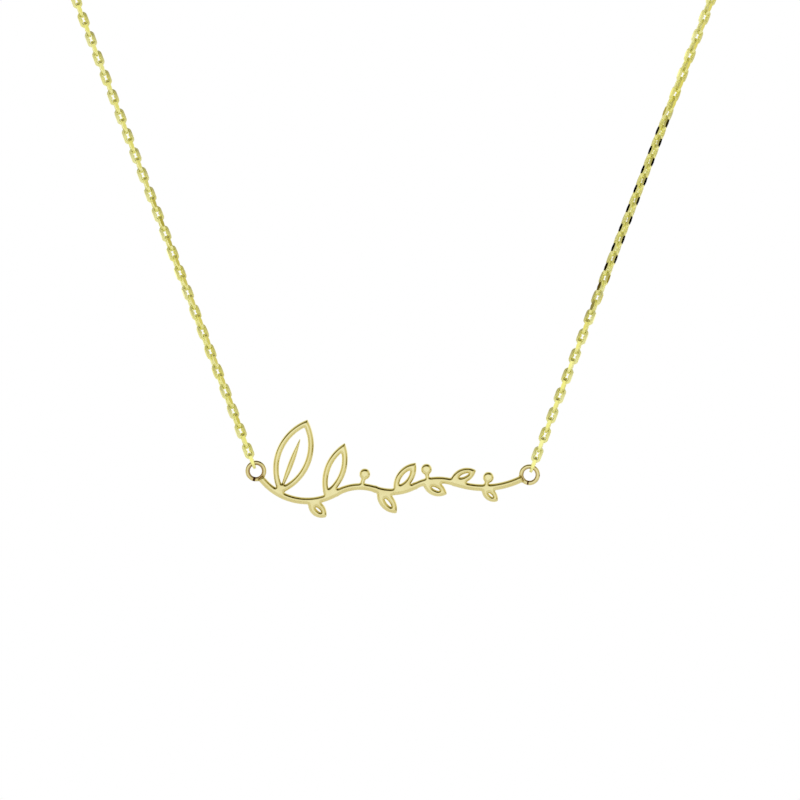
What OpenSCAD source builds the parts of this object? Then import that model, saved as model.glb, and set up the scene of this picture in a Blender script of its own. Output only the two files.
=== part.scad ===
// Nameplate necklace: a flat cast plate between two strands of fine cable chain.
// X runs from the left strand to the right one, Y from the plate to the nape, Z up.
// The origin is the centre of the clasp, where the loop lies on the nape.

/* [Nameplate] */
// Distance between the centres of the two end rings
plate_w = 38; // [34:0.5:44]
// Thickness of the plate, front to back
plate_t = 1; // [0.8:0.05:1.4]
// Width of the stem
stem_w = 0.9; // [0.8:0.05:1.2]
// Width of the rim round an open leaf
rim_w = 0.8; // [0.7:0.05:1]
// Length of the largest leaf
leaf_l = 11; // [10:0.5:14]
// Diameter of a berry
berry_d = 1.5; // [1.2:0.1:2]
// Outer diameter of an end ring
ring_d = 2.9; // [2.4:0.1:3.2]
// Width of an end ring's wire, seen from the front
ring_w = 0.6; // [0.5:0.02:0.7]

/* [Chain] */
// Diameter of a link's wire
wire = 0.38; // [0.34:0.01:0.38]
// Outer width of a link
link_w = 1.38; // [1.36:0.02:1.6]
// Outer length of a link
link_l = 2.38; // [2.3:0.02:2.8]
// Play between two pieces that hook into each other
play = 0.125; // [0.1:0.005:0.14]

/* [Clasp] */
// Outer diameter of the clasp's ring
clasp_d = 5.5; // [5:0.1:7]
// Diameter of the clasp's tube
clasp_tube = 1.1; // [0.9:0.05:1.3]
// Outer diameter of the eye that is soldered to the clasp
eye_d = 1.8; // [1.7:0.1:2.4]
// Inner diameter of the jump ring that the clasp holds
end_ring_bore = 2.4; // [2.2:0.1:3]

/* [Loop] */
// How far the nape lies behind the plate
nape_depth = 80; // [70:1:90]
// How far the nape lies above the plate
nape_rise = 104; // [94:1:114]
// Angle of a strand out from upright, seen from the front
splay = 21.2; // [16:0.2:24]
// Angle of a strand back from upright, seen from the side
lean = 10; // [6:0.5:14]
// Length of a strand's straight stretch
straight_l = 72; // [70:1:80]

/* [Hidden] */

LEFT = -1;
RIGHT = 1;
PLATE_GOLD = "#d8cb92";
CHAIN_GOLD = "#d6cf86";

// The wire that an end link hooks round fills the link's window up to the play
hook_wire = link_w - 2 * wire - 2 * play;
ring_r = (ring_d - ring_w) / 2;
clasp_r = (clasp_d - clasp_tube) / 2;
eye_r = (eye_d - hook_wire) / 2;
end_ring_r = (end_ring_bore + hook_wire) / 2;
// Depth to which a soldered ring sinks into its neighbour
weld = clasp_tube / 4;

// The stem is a wave of arcs: radius as a share of the plate's width, and turn to the left
STEM_HEADING = -53.4;
STEM = [
    [0.2, 84],
    [0.16, -50],
    [0.17, 48],
    [0.17, -48],
    [0.3, 46]
];
// A knot's diameter, and how far an arc stops short of it, as shares of the stem's width
KNOT = 1.12;
KNOT_TRIM = 0.1;

// Leaves: place along the stem as a share, angle from the stem, length and width as shares
// of the largest leaf's length, then the form
RIBBED = 0;
OPEN = 1;
SLIT = 2;
LEAVES = [
    [0.09, 98, 1, 0.46, RIBBED],
    [0.2, -44, 0.3, 0.18, SLIT],
    [0.26, 52, 0.74, 0.27, OPEN],
    [0.46, -34, 0.38, 0.19, SLIT],
    [0.52, 50, 0.46, 0.21, OPEN],
    [0.63, -44, 0.34, 0.18, SLIT],
    [0.73, 36, 0.36, 0.18, SLIT],
    [0.85, -40, 0.26, 0.15, SLIT]
];
// A rib's length as a share of its leaf's, and its width as a share of the rim's
RIB = [0.72, 0.9];
// A slit's start, length and width as shares of its leaf's length
SLIT_AT = [0.34, 0.42, 0.09];

// Berries: place along the stem as a share, angle from the stem, stalk in berry diameters
BERRIES = [
    [0.4, 76, 1.2],
    [0.65, 84, 1.1],
    [0.86, 70, 1]
];
STALK_SHARE = 0.4;

// Roll of the links about the strand: share of the straight stretch, degrees
ROLL_LEFT = [[0, 0], [0.1, 24], [0.3, 28], [0.6, 12], [1, 8], [1.3, 0]];
ROLL_RIGHT = [
    [0, 0], [0.1, -8], [0.3, -14], [0.39, -36], [0.45, -43],
    [0.7, -47], [0.76, -54], [0.82, -62], [1, -68], [1.6, 0]
];

// Handles of the curve round the neck, at the collar and at the nape
COLLAR_HANDLE = 36;
NAPE_HANDLE = 38;
CURVE_STEPS = 120;

// Geometry helpers

function unit(v) = v / norm(v);
function heading(angle) = [cos(angle), sin(angle)];
function sum(list, count) = count == 0 ? 0 : list[count - 1] + sum(list, count - 1);

// Centre and end of an arc that starts at a point with a heading and turns by an angle
function arc_centre(start, angle, radius, turn) = start + radius * heading(angle + 90 * sign(turn));
function arc_end(start, angle, radius, turn) =
    arc_centre(start, angle, radius, turn) + radius * heading(angle + turn - 90 * sign(turn));

// Start and heading of each arc of the stem, drawn with a plate one unit wide
function arc_heading(index) = STEM_HEADING + sum([for (arc = STEM) arc[1]], index);
function arc_start(index) = index == 0
    ? [0, 0]
    : arc_end(arc_start(index - 1), arc_heading(index - 1), STEM[index - 1][0], STEM[index - 1][1]);

// The stem as it lies on the plate, between the end rings
last_heading = arc_heading(len(STEM));
stem_scale = (plate_w - ring_r * (cos(STEM_HEADING) + cos(last_heading))) / arc_start(len(STEM)).x;
left_ring_raw = -ring_r * heading(STEM_HEADING);
right_ring_raw = arc_start(len(STEM)) * stem_scale + ring_r * heading(last_heading);
plate_middle = (left_ring_raw + right_ring_raw) / 2;
left_ring = left_ring_raw - plate_middle;
right_ring = right_ring_raw - plate_middle;
arc_lengths = [for (arc = STEM) arc[0] * abs(arc[1]) * PI / 180 * stem_scale];

// Place and heading at a share of the stem's length
function along_stem(way, index = 0) = way > arc_lengths[index] && index < len(STEM) - 1
    ? along_stem(way - arc_lengths[index], index + 1)
    : let (
        turn = STEM[index][1] * way / arc_lengths[index],
        start = arc_start(index) * stem_scale - plate_middle,
        radius = STEM[index][0] * stem_scale
    ) [arc_end(start, arc_heading(index), radius, turn), arc_heading(index) + turn];
function stem_at(share) = along_stem(share * sum(arc_lengths, len(STEM)));

// Nameplate

// One arc of the stem: a round band cut to a sector, which stops short inside the knots at its ends
module ribbon(index) {
    radius = STEM[index][0] * stem_scale;
    side = sign(STEM[index][1]);
    start = arc_start(index) * stem_scale - plate_middle;
    first = arc_heading(index) - 90 * side;
    last = first + STEM[index][1];
    trim = side * asin(KNOT_TRIM * stem_w / radius);
    reach = 2 * (radius + stem_w);
    cuts = [
        index == 0 ? first : first + trim,
        (first + last) / 2,
        index == len(STEM) - 1 ? last : last - trim
    ];
    translate(arc_centre(start, arc_heading(index), radius, side)) intersection() {
        difference() {
            circle(radius + stem_w / 2, $fn = 96);
            circle(radius - stem_w / 2, $fn = 96);
        }
        polygon(concat([[0, 0]], [for (cut = cuts) reach * heading(cut)]));
    }
}

// A knot joins two arcs of the stem
module knot(index) {
    translate(arc_start(index) * stem_scale - plate_middle) circle(d = KNOT * stem_w, $fn = 48);
}

// A pointed blade along X, narrowed all round by a rim
module blade(length, width, rim = 0) {
    radius = (length ^ 2 / 4 + width ^ 2 / 4) / width;
    intersection_for (side = [-1, 1])
        translate([length / 2, side * (radius - width / 2)]) circle(radius - rim, $fn = 96);
}

module leaf(length, width, form) {
    difference() {
        blade(length, width);
        if (form != SLIT) blade(length, width, rim_w);
        if (form == SLIT) translate([SLIT_AT[0] * length, 0]) blade(SLIT_AT[1] * length, SLIT_AT[2] * length);
    }
    if (form == RIBBED) translate([rim_w / 2, 0]) blade(RIB[0] * length, RIB[1] * rim_w);
}

module berry(stalk) {
    translate([0, -berry_d * STALK_SHARE / 2]) square([stalk, berry_d * STALK_SHARE]);
    translate([stalk, 0]) circle(d = berry_d, $fn = 48);
}

// An end ring of wire with flat faces and round edges
module flat_ring() {
    rotate_extrude($fn = 64) {
        translate([ring_r, 0]) square([ring_w - hook_wire, hook_wire], center = true);
        for (edge = [-1, 1])
            translate([ring_r + edge * (ring_w - hook_wire) / 2, 0]) circle(d = hook_wire, $fn = 32);
    }
}

module nameplate() {
    color(PLATE_GOLD) translate([0, -nape_depth, -nape_rise]) rotate([90, 0, 0]) {
        translate([0, 0, -plate_t / 2]) linear_extrude(plate_t) {
            for (index = [0:len(STEM) - 1]) ribbon(index);
            for (index = [1:len(STEM) - 1]) knot(index);
            for (row = LEAVES) let (root = stem_at(row[0]))
                translate(root[0]) rotate(root[1] + row[1]) leaf(row[2] * leaf_l, row[3] * leaf_l, row[4]);
            for (row = BERRIES) let (root = stem_at(row[0]))
                translate(root[0]) rotate(root[1] + row[1]) berry(row[2] * berry_d);
        }
        for (place = [left_ring, right_ring]) translate(place) flat_ring();
    }
}

// Strands: straight from an end ring up to the collar, then curved round the neck to the nape

function ring_place(side) = let (ring = side == LEFT ? left_ring : right_ring)
    [ring.x, -nape_depth, ring.y - nape_rise];
function strand_start(side) = ring_place(side) + ring_r * [side * sin(splay), 0, cos(splay)];
function strand_heading(side) = unit([side * tan(splay), tan(lean), 1]);
function collar(side) = strand_start(side) + straight_l * strand_heading(side);

// Wires at the nape that the last links hook round: the clasp's eye and the jump ring
eye_x = clasp_d / 2 + eye_d / 2 - weld;
end_ring_x = clasp_r + end_ring_bore / 2 - play - clasp_tube / 2;
function strand_end(side) = [side == LEFT ? -eye_x - eye_r : end_ring_x + end_ring_r, 0, 0];

function bezier(a, b, c, d, t) =
    (1 - t) ^ 3 * a + 3 * (1 - t) ^ 2 * t * b + 3 * (1 - t) * t ^ 2 * c + t ^ 3 * d;
function strand_points(side) = concat([strand_start(side)], [
    for (step = [0:CURVE_STEPS]) bezier(
        collar(side),
        collar(side) + COLLAR_HANDLE * strand_heading(side),
        strand_end(side) + NAPE_HANDLE * [side, 0, 0],
        strand_end(side),
        step / CURVE_STEPS
    )
]);
// Way along the strand at each of its points
function ways(points) = let (last = len(points) - 1) [
    for (i = 0, way = 0; i <= last; way = way + norm(points[min(i + 1, last)] - points[i]), i = i + 1) way
];
// A strand as three tables, of x, y and z against the way along it
function strand(side) = let (points = strand_points(side), way = ways(points))
    [for (axis = [0:2]) [for (i = [0:len(points) - 1]) [way[i], points[i][axis]]]];
function at(strand, way) = [for (axis = [0:2]) lookup(way, strand[axis])];
function strand_length(strand) = strand[0][len(strand[0]) - 1][0];

// The first and last link reach past the wire that they hook round
window = link_l - 2 * wire;
first_link = window / 2 - ring_w / 2 - play;
last_link = window / 2 - hook_wire / 2 - play;
// Every other link lies across, so a strand's first and last link set whether its count is odd
function link_count(strand, odd) = let (
    pitches = (strand_length(strand) - first_link - last_link) / (window - play)
) odd + 2 * round((pitches + 1 - odd) / 2);

// Outward from the neck at a way along the strand, from the chest round to the nape
function outward(strand, side, way) = let (
    share = max(0, way - straight_l) / (strand_length(strand) - straight_l),
    angle = 180 * (3 * share ^ 2 - 2 * share ^ 3) - 90
) [side * cos(angle), sin(angle), 0];

// Chain

module bend() {
    rotate_extrude(angle = 180, $fn = 32) translate([(link_w - wire) / 2, 0]) circle(d = wire, $fn = 24);
}

// An oval link, long along Y and flat in XY
module link() {
    straight = link_l - link_w;
    for (turn = [0, 180]) rotate(turn) {
        translate([0, straight / 2, 0]) bend();
        translate([(link_w - wire) / 2, straight / 2, 0])
            rotate([90, 0, 0]) cylinder(d = wire, h = straight, $fn = 24);
    }
}

// Puts a link at a way along the strand, rolled about it from lying flat on the body
module place_link(strand, side, way, roll, pitch) {
    place = at(strand, way);
    along = unit(at(strand, way + pitch / 2) - at(strand, way - pitch / 2));
    out = outward(strand, side, way);
    flat = unit(out - (out * along) * along);
    normal = cos(roll) * flat + sin(roll) * cross(along, flat);
    across = cross(along, normal);
    multmatrix([
        [across.x, along.x, normal.x, place.x],
        [across.y, along.y, normal.y, place.y],
        [across.z, along.z, normal.z, place.z]
    ]) link();
}

module chain(side, odd, rolls) {
    strand = strand(side);
    count = link_count(strand, odd);
    pitch = (strand_length(strand) - first_link - last_link) / (count - 1);
    color(CHAIN_GOLD) for (i = [0:count - 1]) {
        way = first_link + i * pitch;
        place_link(strand, side, way, lookup(way / straight_l, rolls) + 90 * ((i + 1) % 2), pitch);
    }
}

module chain_left() {
    chain(LEFT, 1, ROLL_LEFT);
}

module chain_right() {
    chain(RIGHT, 0, ROLL_RIGHT);
}

// Clasp

module wire_ring(radius, thickness) {
    rotate_extrude($fn = 64) translate([radius, 0]) circle(d = thickness, $fn = 32);
}

// The clasp's ring lies flat on the nape, with its eye towards the left strand
module clasp() {
    color(CHAIN_GOLD) rotate([90, 0, 0]) {
        wire_ring(clasp_r, clasp_tube);
        translate([-eye_x, 0, 0]) wire_ring(eye_r, hook_wire);
    }
}

// The jump ring stands across the clasp's ring and takes the right strand
module end_ring() {
    color(CHAIN_GOLD) translate([end_ring_x, 0, 0]) wire_ring(end_ring_r, hook_wire);
}

nameplate();
chain_left();
chain_right();
clasp();
end_ring();
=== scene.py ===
# %% [markdown]
# A nameplate necklace hangs from the back of a neck: two strands of fine cable chain run down
# to a flat cast plate. The frame already holds every piece at its real size and place, so this
# script only gives them the surface of the real thing: domed and polished strokes on the plate,
# links that were cut flat on their outer sides, and two kinds of gold.

# %% Load the frame
import math

import bpy
import numpy as np
from mathutils import Matrix, Vector
from mathutils.kdtree import KDTree


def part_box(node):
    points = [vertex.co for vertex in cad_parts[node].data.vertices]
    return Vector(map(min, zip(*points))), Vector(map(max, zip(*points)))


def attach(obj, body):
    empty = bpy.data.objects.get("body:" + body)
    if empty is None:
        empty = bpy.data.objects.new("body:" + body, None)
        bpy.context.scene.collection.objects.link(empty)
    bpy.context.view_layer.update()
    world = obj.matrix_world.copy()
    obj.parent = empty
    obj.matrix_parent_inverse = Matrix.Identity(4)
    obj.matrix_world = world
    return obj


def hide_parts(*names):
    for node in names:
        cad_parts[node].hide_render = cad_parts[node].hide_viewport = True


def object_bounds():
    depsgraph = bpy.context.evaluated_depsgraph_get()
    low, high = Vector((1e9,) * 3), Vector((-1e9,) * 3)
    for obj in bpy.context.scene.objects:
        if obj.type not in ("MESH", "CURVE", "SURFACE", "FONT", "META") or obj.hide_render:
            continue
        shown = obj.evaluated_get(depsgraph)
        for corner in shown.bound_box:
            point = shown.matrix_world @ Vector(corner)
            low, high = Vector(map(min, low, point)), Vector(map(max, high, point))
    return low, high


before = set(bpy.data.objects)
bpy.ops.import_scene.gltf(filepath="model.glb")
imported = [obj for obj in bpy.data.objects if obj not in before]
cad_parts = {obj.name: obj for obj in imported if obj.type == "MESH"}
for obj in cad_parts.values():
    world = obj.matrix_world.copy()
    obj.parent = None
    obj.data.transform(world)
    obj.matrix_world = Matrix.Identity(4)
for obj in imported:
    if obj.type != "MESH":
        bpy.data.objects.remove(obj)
cad_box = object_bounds()
MM = 0.001
print("nodes:", sorted(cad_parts))
print("box:", [[round(x / MM, 2) for x in corner] for corner in cad_box])

# %% [markdown]
# Operators act on whatever is selected, and loading leaves every node selected. These helpers
# start each step from a clean selection, and hand back a merged copy of a node to work on,
# because the node itself must stay as it is.

# %% Selection helpers

NODE_MERGE = 0.0005 * MM


def select_only(*pieces):
    bpy.ops.object.select_all(action="DESELECT")
    for piece in pieces:
        piece.select_set(True)
    bpy.context.view_layer.objects.active = pieces[0]


def merged_copy(node, name):
    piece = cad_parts[node].copy()
    piece.data = piece.data.copy()
    piece.parent = None
    piece.name = name
    for key in list(piece.keys()):
        del piece[key]
    bpy.context.scene.collection.objects.link(piece)
    select_only(piece)
    bpy.ops.object.mode_set(mode="EDIT")
    bpy.ops.mesh.select_all(action="SELECT")
    bpy.ops.mesh.remove_doubles(threshold=NODE_MERGE)
    bpy.ops.mesh.customdata_custom_splitnormals_clear()
    bpy.ops.object.mode_set(mode="OBJECT")
    return piece


def apply_modifier(piece, kind, **settings):
    select_only(piece)
    modifier = piece.modifiers.new(kind.title(), kind)
    for key, value in settings.items():
        setattr(modifier, key, value)
    bpy.ops.object.modifier_apply(modifier=modifier.name)


# %% [markdown]
# A finish is a small tree of nodes. Writing its maths as plain sums keeps it readable: a Value
# wraps a socket, and adding or multiplying two of them adds the Math node that does it. Every
# other node comes from one method, which sets the node up and feeds its sockets.

# %% Shader maths


class Value:
    def __init__(self, nodes, socket):
        self.nodes = nodes
        self.socket = socket

    def maths(self, operation, *values):
        return self.nodes.add("ShaderNodeMath", {"operation": operation}, dict(enumerate(values)))

    def __add__(self, other):
        return self.maths("ADD", self, other)

    def __sub__(self, other):
        return self.maths("SUBTRACT", self, other)

    def __rsub__(self, other):
        return self.maths("SUBTRACT", other, self)

    def __mul__(self, other):
        return self.maths("MULTIPLY", self, other)

    def __pow__(self, other):
        return self.maths("POWER", self, other)

    def __abs__(self):
        return self.maths("ABSOLUTE", self)

    __radd__ = __add__
    __rmul__ = __mul__


class Nodes:
    def __init__(self, owner):
        owner.use_nodes = True
        self.tree = owner.node_tree

    def add(self, kind, settings, inputs, output=0):
        node = self.tree.nodes.new(kind)
        for key, value in settings.items():
            setattr(node, key, value)
        for key, value in inputs.items():
            self.feed(node.inputs[key], value)
        return Value(self, node.outputs[output])

    def feed(self, socket, value):
        if isinstance(value, Value):
            self.tree.links.new(value.socket, socket)
        else:
            socket.default_value = value

    def shade(self, **sockets):
        """Feeds the material's own shader, whose sockets are named with _ for a space."""
        shader = self.tree.nodes["Principled BSDF"]
        for name, value in sockets.items():
            self.feed(shader.inputs[name.replace("_", " ")], value)

    def mark(self, name):
        """The value that an attribute of the mesh has at each point."""
        return self.add("ShaderNodeAttribute", {"attribute_name": name}, {}, "Fac")

    def noise(self, scale, detail):
        place = self.add("ShaderNodeTexCoord", {}, {}, "Object")
        return self.add("ShaderNodeTexNoise", {}, {"Vector": place, "Scale": scale, "Detail": detail})

    def ramp(self, value, low, high):
        settings = {"interpolation_type": "SMOOTHSTEP"}
        return self.add("ShaderNodeMapRange", settings, {"Value": value, "From Min": low, "From Max": high})

    def mix(self, share, first, second):
        first, second = ((*colour, 1) if isinstance(colour, tuple) else colour for colour in (first, second))
        return self.add("ShaderNodeMix", {"data_type": "RGBA"}, {0: share, 6: first, 7: second}, 2)


# %% [markdown]
# Polished gold is never even: tumbling leaves cloudy patches of gloss, and the plating is a
# little deeper in colour in places. Noise at two scales gives that, in object coordinates, so it
# stays put from every side.

# %% Tumbled gold

CLOUDS_PER_MM = 0.35
CLOUD_EDGES = (0.35, 0.65)
CLOUD_TINT = 0.4
GRAIN_TINT = 0.14
TINTED_GRAIN = (0.4, 0.7)
HAZY_GRAIN = (0.45, 0.75)
HAZE = 0.05
BUMP_SHARE = 0.12
BUMP_DEPTH = 0.004 * MM


def tumbled_gold(name, gloss, grain_size):
    """The material and its nodes, and how deep in colour and how rough it is at each point."""
    material = bpy.data.materials.new(name)
    nodes = Nodes(material)
    cloud = nodes.noise(CLOUDS_PER_MM / MM, 3.0)
    grain = nodes.noise(1 / grain_size, 4.0)
    cloudy = nodes.ramp(cloud, *CLOUD_EDGES)
    depth = cloudy * CLOUD_TINT + nodes.ramp(grain, *TINTED_GRAIN) * GRAIN_TINT
    rough = gloss + HAZE * cloudy + HAZE * nodes.ramp(grain, *HAZY_GRAIN)
    bump = nodes.add("ShaderNodeBump", {}, {"Height": grain, "Strength": BUMP_SHARE, "Distance": BUMP_DEPTH})
    nodes.shade(Metallic=1.0, Normal=bump)
    return material, nodes, depth, rough


# %% [markdown]
# The plate is a pale gold. On its end rings a brown shade is painted into the colour, which is
# also made duller there, and the open seam of each ring is nearly black. Both follow one mark
# painted on the mesh, which is 1 in the open seam and less where only the painted brown shade lies.

# %% Gold of the plate

PLATE_PALE = (0.85, 0.79, 0.43)
PLATE_DEEP = (0.73, 0.63, 0.28)
SHADE_BROWN = (0.27, 0.12, 0.012)
SEAM_BLACK = (0.05, 0.015, 0.003)
PLATE_GLOSS = 0.08
PLATE_GRAIN = 0.22 * MM
BLACK_FROM = 0.9
SHADE_AND_SEAM_ROUGH = 0.4


def plate_finish():
    material, nodes, depth, rough = tumbled_gold("plate_gold", PLATE_GLOSS, PLATE_GRAIN)
    seam_and_shade = nodes.mark("seam_and_shade")
    clean = nodes.mix(depth, PLATE_PALE, PLATE_DEEP)
    # Painted shade: brown where the ring wire slopes away, and black in the open seam.
    shade_and_seam_colour = nodes.mix(nodes.ramp(seam_and_shade, BLACK_FROM, 1), SHADE_BROWN, SEAM_BLACK)
    nodes.shade(Base_Color=nodes.mix(seam_and_shade, clean, shade_and_seam_colour), Roughness=rough + seam_and_shade * SHADE_AND_SEAM_ROUGH)
    return material


plate_gold = plate_finish()
print("finish:", plate_gold.name)

# %% [markdown]
# The chain is a stronger yellow, and no two of its links have quite the same colour. Two marks
# on the mesh say so: "tone" is how deep the colour of a link is, and "cut" is 1 on the faces
# where the cutter left a mirror. The round parts keep the softer gloss of the tumbler.

# %% Gold of the chain

CHAIN_PALE = (0.99, 0.99, 0.57)
CHAIN_DEEP = (0.97, 0.94, 0.3)
CHAIN_GLOSS = 0.06
CHAIN_GRAIN = 0.3 * MM
CLOUD_SHARE = 0.6
TONE_SHARE = 0.4
CUT_SHARE = 0.5
ROUND_ROUGH = 0.42


def chain_finish():
    material, nodes, depth, rough = tumbled_gold("chain_gold", CHAIN_GLOSS, CHAIN_GRAIN)
    cut = nodes.mark("cut")
    depth = depth * CLOUD_SHARE + nodes.mark("tone") * TONE_SHARE + cut * CUT_SHARE
    colour = nodes.mix(depth, CHAIN_PALE, CHAIN_DEEP)
    nodes.shade(Base_Color=colour, Roughness=rough + (1 - cut) * ROUND_ROUGH)
    return material


chain_gold = chain_finish()
print("finish:", chain_gold.name)

# %% [markdown]
# The plate lies level between two end rings, and the camera, the painted shade on the rings and
# their solder nicks are placed from them. Their centres are read off a copy of the plate's solid:
# each ring is the outermost thing on its side, so the points that reach furthest out are at the
# height of its centre.

# %% End rings

RING_RADIUS = 1.45 * MM
RIM_SLICE = 0.02 * MM

plate = merged_copy("nameplate", "nameplate_polished")
plate_low, plate_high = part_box("nameplate")
plate_y = (plate_low.y + plate_high.y) / 2
ring_centres = []
for outer, inward in ((plate_low.x, 1), (plate_high.x, -1)):
    rim = [v.co.z for v in plate.data.vertices if abs(v.co.x - outer) < RIM_SLICE]
    ring_centres.append(Vector((outer + inward * RING_RADIUS, plate_y, sum(rim) / len(rim))))
print("ring centres mm:", [tuple(round(x / MM, 2) for x in centre) for centre in ring_centres])

# %% [markdown]
# The plate was cast in a rubber mould and then tumbled, so each stroke is domed: highest along
# its middle and falling to its edges. A bevel can't do that at the sharp tips of the leaves. A
# voxel remesh gives an even skin over every crossing of stem and leaf instead, and each point of
# it can be let down by its distance from the nearest side wall. This cell makes the skin and
# works out that fall, along a quarter of an ellipse: full at the walls, and nothing in the
# middle of a stroke.

# %% Even skin

RING_WIRE = 0.6 * MM
STROKE = 0.85 * MM
RING_FALL = 0.48 * MM
STROKE_FALL = 0.46 * MM
SKIN = 0.08 * MM
WALL_LEAN = 0.5


def mesh_points(piece):
    return np.array([v.co for v in piece.data.vertices])


def distance_to_wall(piece, points):
    upright = [v.co for v in piece.data.vertices if abs(v.normal.y) < WALL_LEAN]
    walls = KDTree(len(upright))
    for index, point in enumerate(upright):
        walls.insert((point.x, 0, point.z), index)
    walls.balance()
    return np.array([walls.find((x, 0, z))[2] for x, y, z in points])


apply_modifier(plate, "REMESH", mode="VOXEL", voxel_size=SKIN, use_smooth_shade=True)
points = mesh_points(plate)
inside = distance_to_wall(plate, points)
off_rings = np.min([np.hypot(points[:, 0] - c.x, points[:, 2] - c.z) for c in ring_centres], axis=0)
on_ring = off_rings < RING_RADIUS
reach = np.where(on_ring, RING_WIRE / 2, STROKE / 2)
dome = 1 - np.sqrt(1 - np.clip(1 - inside / reach, 0, 1) ** 2)
dome = dome * np.where(on_ring, 1, STROKE_FALL / RING_FALL)
print("skin points:", len(points), "of them on the rings:", int(on_ring.sum()))

# %% [markdown]
# Two displacements let the front and the back down by that fall, each weighted so that it fades
# out halfway through the plate. Smoothing then takes away the steps of the voxels, and a last
# push puts back what it shrank.

# %% Domed strokes

SMOOTH_SHARE = 0.5
SMOOTH_ROUNDS = 12


def weigh(piece, name, weights):
    group = piece.vertex_groups.new(name=name)
    for index in np.flatnonzero(weights > 0):
        group.add([int(index)], float(weights[index]), "REPLACE")
    return name


for name, facing_way in (("front", -1), ("back", 1)):
    depth_share = np.clip(facing_way * (points[:, 1] - plate_y) / (plate_high.y - plate_low.y) * 2, 0, 1)
    group = weigh(plate, name, dome * depth_share)
    fall = -facing_way * RING_FALL
    apply_modifier(plate, "DISPLACE", direction="Y", strength=fall, mid_level=0, vertex_group=group)
apply_modifier(plate, "SMOOTH", factor=SMOOTH_SHARE, iterations=SMOOTH_ROUNDS)
lost = (plate_high.x - plate_low.x - plate.dimensions.x) / 2
apply_modifier(plate, "DISPLACE", direction="NORMAL", strength=lost, mid_level=0)
print("smoothing took", round(lost / MM, 3), "mm off all round, and it was put back")
print("plate mm:", [round(x / MM, 2) for x in plate.dimensions])

# %% [markdown]
# The two end rings are jump rings soldered to the plate. A brown shade is painted on the inside
# of each ring, deeper on the left one, and the seam of each one still shows as a dark nick at
# the bottom. Both are painted as one attribute, since no edge of the mesh follows them. The
# painted shade grows towards the walls of the wire, with the same fall as its dome.

# %% Painted ring shade and solder seams

SEAM_WIDTHS = (0.34 * MM, 0.22 * MM)
SEAM_TURN = math.radians(12)
SEAM_REACH = 1.02 * RING_RADIUS
RING_SHADES = (0.89, 0.8)
RING_FADES = (0.2, 0.45)
OUTER_SHADE_SHARE = 0.25

points = mesh_points(plate)
seam_and_shade = np.zeros(len(points))
for centre, width, shade, fade in zip(ring_centres, SEAM_WIDTHS, RING_SHADES, RING_FADES):
    x, z = points[:, 0] - centre.x, points[:, 2] - centre.z
    from_centre = np.hypot(x, z)
    near = from_centre < RING_RADIUS
    # Painted shade: brown on the inside of each ring, a quarter as much on its outside.
    painted_shade = shade * np.where(from_centre < RING_RADIUS - RING_WIRE / 2, 1, OUTER_SHADE_SHARE)
    seam_and_shade[near] = (dome ** fade * painted_shade)[near]
    down = -math.sin(SEAM_TURN) * x - math.cos(SEAM_TURN) * z
    aside = np.abs(math.cos(SEAM_TURN) * x - math.sin(SEAM_TURN) * z)
    seam_and_shade[(down > 0) & (down < SEAM_REACH) & (aside < width / 2)] = 1
plate.data.attributes.new("seam_and_shade", "FLOAT", "POINT").data.foreach_set("value", seam_and_shade)
plate.data.materials.clear()
plate.data.materials.append(plate_gold)
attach(plate, "root")
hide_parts("nameplate")
print("plate faces:", len(plate.data.polygons), "marked points:", int((seam_and_shade > 0).sum()))

# %% [markdown]
# Every link of the real chain is a ring of round wire pressed into an oval and soldered, and
# the finished chain was run past a cutter that planes its four outer sides. One link is
# modelled here: a section is spun round each end, the straight sides are extruded between them,
# and two bisections plane the outside flat. Pressing squeezes the sides thicker towards their
# middle, so each side is extruded in two halves and swollen between them, which leaves the link
# only a narrow window. The planed faces are marked as "cut" for the gold of the chain.

# %% One link

LINK_HALF_STRAIGHT = 0.48 * MM
WIRE_RADIUS = 0.2 * MM
OUTSIDE = 0.71
SECTION = [(0.275, 0), (0.4, -0.235), (OUTSIDE, -0.175), (OUTSIDE, 0.175), (0.4, 0.235)]
SWELL = (1.42, 1, 1.3)
SHRINK = [1 / share for share in SWELL]
FLAT_AT = 0.68 * MM
BEND_STEPS = 6
LINK_MERGE = 0.001 * MM
PLANE_MERGE = 1e-7
FACING_SIDE = 0.99


def bend_and_side(side):
    """Spins the selected section round one end, and extrudes a side from there to the other."""
    bend_centre = (0, side * LINK_HALF_STRAIGHT, 0)
    bpy.ops.mesh.spin(steps=BEND_STEPS, angle=-math.pi, center=bend_centre, axis=(0, 0, 1))
    for size in SWELL, SHRINK:
        step = {"value": (0, -side * LINK_HALF_STRAIGHT, 0)}
        bpy.ops.mesh.extrude_region_move(TRANSFORM_OT_translate=step)
        bpy.ops.transform.resize(value=size, center_override=(-side * OUTSIDE * MM, 0, 0))


def plane_flat(side):
    plane = {"plane_co": (side * FLAT_AT, 0, 0), "plane_no": (side, 0, 0)}
    bpy.ops.mesh.select_all(action="SELECT")
    bpy.ops.mesh.bisect(**plane, use_fill=True, clear_outer=True, threshold=PLANE_MERGE)


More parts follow.
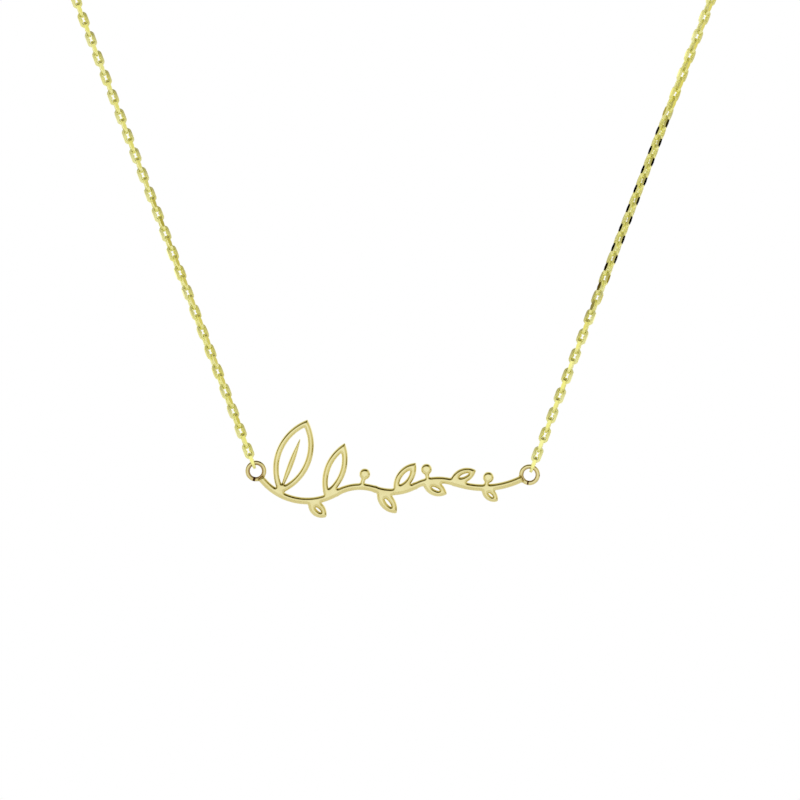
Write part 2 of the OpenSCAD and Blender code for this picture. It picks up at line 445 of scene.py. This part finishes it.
def model_link():
    bpy.ops.object.select_all(action="DESELECT")
    bpy.ops.mesh.primitive_circle_add(vertices=len(SECTION), radius=WIRE_RADIUS, fill_type="NOTHING")
    link = bpy.context.object
    for vertex, (across, up) in zip(link.data.vertices, SECTION):
        vertex.co = Vector((across, 0, up)) * MM + Vector((0, LINK_HALF_STRAIGHT, 0))
    bpy.ops.object.mode_set(mode="EDIT")
    for side in (1, -1):
        bend_and_side(side)
    bpy.ops.mesh.select_all(action="SELECT")
    bpy.ops.mesh.remove_doubles(threshold=LINK_MERGE)
    bpy.ops.mesh.normals_make_consistent(inside=False)
    for side in (1, -1):
        plane_flat(side)
    bpy.ops.object.mode_set(mode="OBJECT")
    cut = [float(abs(face.normal.x) > FACING_SIDE) for face in link.data.polygons]
    link.data.attributes.new("cut", "FLOAT", "FACE").data.foreach_set("value", cut)
    return link


link = model_link()
print("link faces:", len(link.data.polygons), "size mm:", [round(x / MM, 3) for x in link.dimensions])

# %% [markdown]
# The frame's strands are loose solids, one for each link. Separating a copy of a strand gives
# each link by itself, and the three main directions of its points say how it lies. Such a
# direction can come out either way round, so all are turned towards one guide, and each run
# gives the same links. They are sorted from the plate up to the nape, which keeps each link's
# tone its own.

# %% Where the links lie

SIGN_GUIDE = np.array((0.42, 0.31, 0.85))


def link_places(node):
    pieces = merged_copy(node, node + "_measured")
    select_only(pieces)
    bpy.ops.mesh.separate(type="LOOSE")
    places = []
    for piece in list(bpy.context.selected_objects):
        points = mesh_points(piece)
        middle = points.mean(axis=0)
        axes = np.linalg.eigh(np.cov((points - middle).T))[1]
        axes = axes * np.where(SIGN_GUIDE @ axes < 0, -1, 1)
        inner = (points - middle) @ axes
        centre = middle + axes @ ((inner.max(axis=0) + inner.min(axis=0)) / 2)
        across, along = axes[:, 1], axes[:, 2]
        places.append((centre, across, along, np.cross(across, along)))
        bpy.data.objects.remove(piece)
    return sorted(places, key=lambda place: place[0][2] - place[0][1])


places = {node: link_places(node) for node in ("chain_left", "chain_right")}
print("links:", {node: len(found) for node, found in places.items()})

# %% [markdown]
# The link modelled above is copied to each of those places, and the copies of a strand are
# joined. Their round parts are shaded smooth, and the faces left by the cutter flat.

# %% Strands of cut links

SMOOTH_ANGLE = math.radians(38)


def link_at(place, tone):
    centre, across, along, normal = place
    turn = Matrix([across, along, normal]).transposed().to_4x4()
    copy = link.copy()
    copy.data = link.data.copy()
    copy.data.transform(Matrix.Translation(centre) @ turn)
    tones = [tone] * len(copy.data.vertices)
    copy.data.attributes.new("tone", "FLOAT", "POINT").data.foreach_set("value", tones)
    bpy.context.scene.collection.objects.link(copy)
    return copy


def strand(node, name):
    count = len(places[node])
    tones = np.random.default_rng(count).uniform(0, 1, count)
    select_only(*[link_at(place, tone) for place, tone in zip(places[node], tones)])
    bpy.ops.object.join()
    joined = bpy.context.object
    joined.name = name
    bpy.ops.object.shade_smooth_by_angle(angle=SMOOTH_ANGLE)
    for face, cut in zip(joined.data.polygons, joined.data.attributes["cut"].data):
        face.use_smooth = cut.value == 0
    joined.data.materials.clear()
    joined.data.materials.append(chain_gold)
    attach(joined, "root")
    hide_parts(node)
    print(name, "links:", count, "faces:", len(joined.data.polygons))


strand("chain_left", "cut_links_left")
strand("chain_right", "cut_links_right")
bpy.data.objects.remove(link)

# %% [markdown]
# The clasp and its jump ring are round wire with no edge to soften. Their solids are right as
# they are, so they only take the chain's gold.

# %% Clasp and jump ring

for node in ("clasp", "end_ring"):
    for material_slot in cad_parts[node].material_slots:
        material_slot.material = chain_gold
    print(node, "keeps its solid")

# %% [markdown]
# The camera stands well back and looks level at the plate, as the photo was taken, so that the
# strands stay straight. Its frame is measured from the photo: so many pixels a millimetre at
# the plate, with the end rings a little below the middle.

# %% Camera

PHOTO_PX = 800
PX_PER_MM = 7.2
RINGS_PX = (392.7, 473.1)
DISTANCE = 0.7
SENSOR_WIDTH = 36

rings_x = (plate_low.x + plate_high.x) / 2
rings_z = (ring_centres[0].z + ring_centres[1].z) / 2
view_width = PHOTO_PX / PX_PER_MM * MM
aim_x = rings_x + (PHOTO_PX / 2 - RINGS_PX[0]) / PX_PER_MM * MM
aim_z = rings_z - (PHOTO_PX / 2 - RINGS_PX[1]) / PX_PER_MM * MM
bpy.ops.object.camera_add(location=(aim_x, plate_y - DISTANCE, aim_z), rotation=(math.radians(90), 0, 0))
camera = bpy.context.object
camera.data.sensor_width = SENSOR_WIDTH
camera.data.lens = SENSOR_WIDTH * DISTANCE / view_width
camera.data.clip_start = 0.01
bpy.context.scene.camera = camera
print("lens:", round(camera.data.lens, 1), "view mm:", round(view_width / MM, 1))

# %% [markdown]
# Polished metal shows only what stands round it. This studio is white in front and behind, pale
# at the sides and grey elsewhere, and the background of the picture is plain white. All of it is
# painted on the world, by direction, so no sheet or screen has to be modelled. A sheet fades
# out between two angles from its middle, or between two values of a direction's x, y or z.

# %% White surroundings

SIDES_START = (0.3, 0.75)
SIDES_END = (0.5, 0.9)

scene = bpy.context.scene
scene.view_settings.view_transform = "Standard"
scene.view_settings.look = "None"

world = bpy.data.worlds.new("studio")
scene.world = world
studio = Nodes(world)
studio.tree.nodes.clear()
direction = studio.add("ShaderNodeTexCoord", {}, {}, "Generated")


def towards(x, y, z, inner, outer):
    """1 within an inner angle of a direction, and 0 past an outer one."""
    inputs = {0: direction, 1: Vector((x, y, z)).normalized()}
    cosine = studio.add("ShaderNodeVectorMath", {"operation": "DOT_PRODUCT"}, inputs, "Value")
    return studio.ramp(cosine, math.cos(math.radians(outer)), math.cos(math.radians(inner)))


facing = towards(0, -1, 0, 8, 50)
behind = towards(0, 1, 0, 35, 85)
split = studio.add("ShaderNodeSeparateXYZ", {}, {0: direction})
across, depth, height = (Value(studio, split.socket.node.outputs[axis]) for axis in "XYZ")
sides = studio.ramp(abs(across), *SIDES_START) * (1 - studio.ramp(abs(height), *SIDES_END))
print("white in front and behind, pale at the sides")

# %% [markdown]
# Black in a reflection is what gives gold its depth. A dark gap above the front sheet draws the
# thin dark lines on the upper edges of the plate. Two small black flags beside the necklace are
# seen in the links that are turned half round, as black stripes, and a third one above darkens
# the tops of the leaves. A grey card takes the glare off the right strand.

# %% Flags

GAP_FOOT = (0.38, 0.56)
GAP_RIGHT_END = (0.25, 0.5)
GAP_FRONT = (-0.9, -0.75)
GAP_BACK = (-0.4, 0)
GAP_DARK = 0.9
CARD_DARK = 0.5

over = studio.ramp(height, *GAP_FOOT) * (1 - studio.ramp(across, *GAP_RIGHT_END))
edge_gap = over * (studio.ramp(depth, *GAP_FRONT) - studio.ramp(depth, *GAP_BACK))
left_flag = towards(-0.86, 0, 0.51, 11, 19)
right_flag = towards(0.97, 0.05, -0.22, 11, 19)
top_flag = towards(0.42, -0.22, 0.88, 13, 24)
grey_card = towards(0.88, 0.4, -0.25, 8, 28)
open_share = (1 - left_flag) * (1 - right_flag) * (1 - top_flag)
open_share = open_share * (1 - edge_gap * GAP_DARK) * (1 - grey_card * CARD_DARK)
print("three flags, a gap and a card")

# %% [markdown]
# The light of each direction is the grey of the room, with the sheets added and the flags taken
# away. Dim light is made warmer, as it is between sheets of paper: its green and its blue fall
# off faster than its red. The camera itself sees plain white.

# %% Light of the studio

ROOM = 0.46
FRONT_SHEET = 0.54
BACK_SHEET = 0.5
SIDE_SHEETS = 0.28
GREEN_FALL = 1.15
BLUE_FALL = 2.3
GREEN_LOST_AT_SIDES = 0.03
BLUE_LOST_AT_SIDES = 0.1
WHITE = (1.0, 1.0, 1.0)

light = (ROOM + facing * FRONT_SHEET + sides * SIDE_SHEETS + behind * BACK_SHEET) * open_share
green = light ** GREEN_FALL * (1 - sides * GREEN_LOST_AT_SIDES)
blue = light ** BLUE_FALL * (1 - sides * BLUE_LOST_AT_SIDES)
warm = studio.add("ShaderNodeCombineColor", {}, {"Red": light, "Green": green, "Blue": blue})
seen = studio.add("ShaderNodeLightPath", {}, {}, "Is Camera Ray")
colour = studio.mix(seen, warm, WHITE)
background = studio.add("ShaderNodeBackground", {}, {"Color": colour, "Strength": 1.0})
studio.feed(studio.tree.nodes.new("ShaderNodeOutputWorld").inputs["Surface"], background)
print("studio nodes:", len(studio.tree.nodes))

# %% [markdown]
# One large soft lamp stands at the upper left in front, as a softbox would. It is weak, because
# the white surroundings already light everything, and only lifts the faces turned towards it.

# %% Softbox

LAMP_LEFT = 0.6
LAMP_FORWARD = 0.9
LAMP_UP = 0.6
LAMP_SIZE = 1.0
LAMP_WATTS = 0.5

bpy.ops.object.light_add(type="AREA", location=(-LAMP_LEFT, plate_y - LAMP_FORWARD, LAMP_UP))
softbox = bpy.context.object
softbox.data.size = LAMP_SIZE
softbox.data.energy = LAMP_WATTS
plate_middle = Vector((0, plate_y, rings_z))
softbox.rotation_euler = (plate_middle - softbox.location).to_track_quat("-Z", "Y").to_euler()
print("softbox at:", tuple(round(x, 2) for x in softbox.location))

# %% [markdown]
# The necklace hangs over a light table: a pale sheet that also glows a little, so that the
# lower edges of the plate stay bright. It belongs to the stage and not to the necklace.

# %% Floor

FLOOR_DROP = 0.09
FLOOR_SIZE = 1.0
PAPER_PALE = (0.9, 0.9, 0.89)
PAPER_DEEP = (0.86, 0.86, 0.85)
FIBRES_PER_M = 400.0
PAPER_ROUGH = 0.8
PAPER_GLOW = 0.35

floor_z = cad_box[0][2] - FLOOR_DROP
bpy.ops.mesh.primitive_plane_add(size=FLOOR_SIZE, location=(0, 0, floor_z))
floor = bpy.context.object
floor.name = "floor"
paper = bpy.data.materials.new("paper")
sheet = Nodes(paper)
fibre = sheet.noise(FIBRES_PER_M, 5.0)
sheet.shade(Base_Color=sheet.mix(fibre, PAPER_PALE, PAPER_DEEP), Roughness=PAPER_ROUGH)
sheet.shade(Emission_Color=(*WHITE, 1.0), Emission_Strength=PAPER_GLOW)
floor.data.materials.append(paper)
print("floor at mm:", round(floor_z / MM, 1))
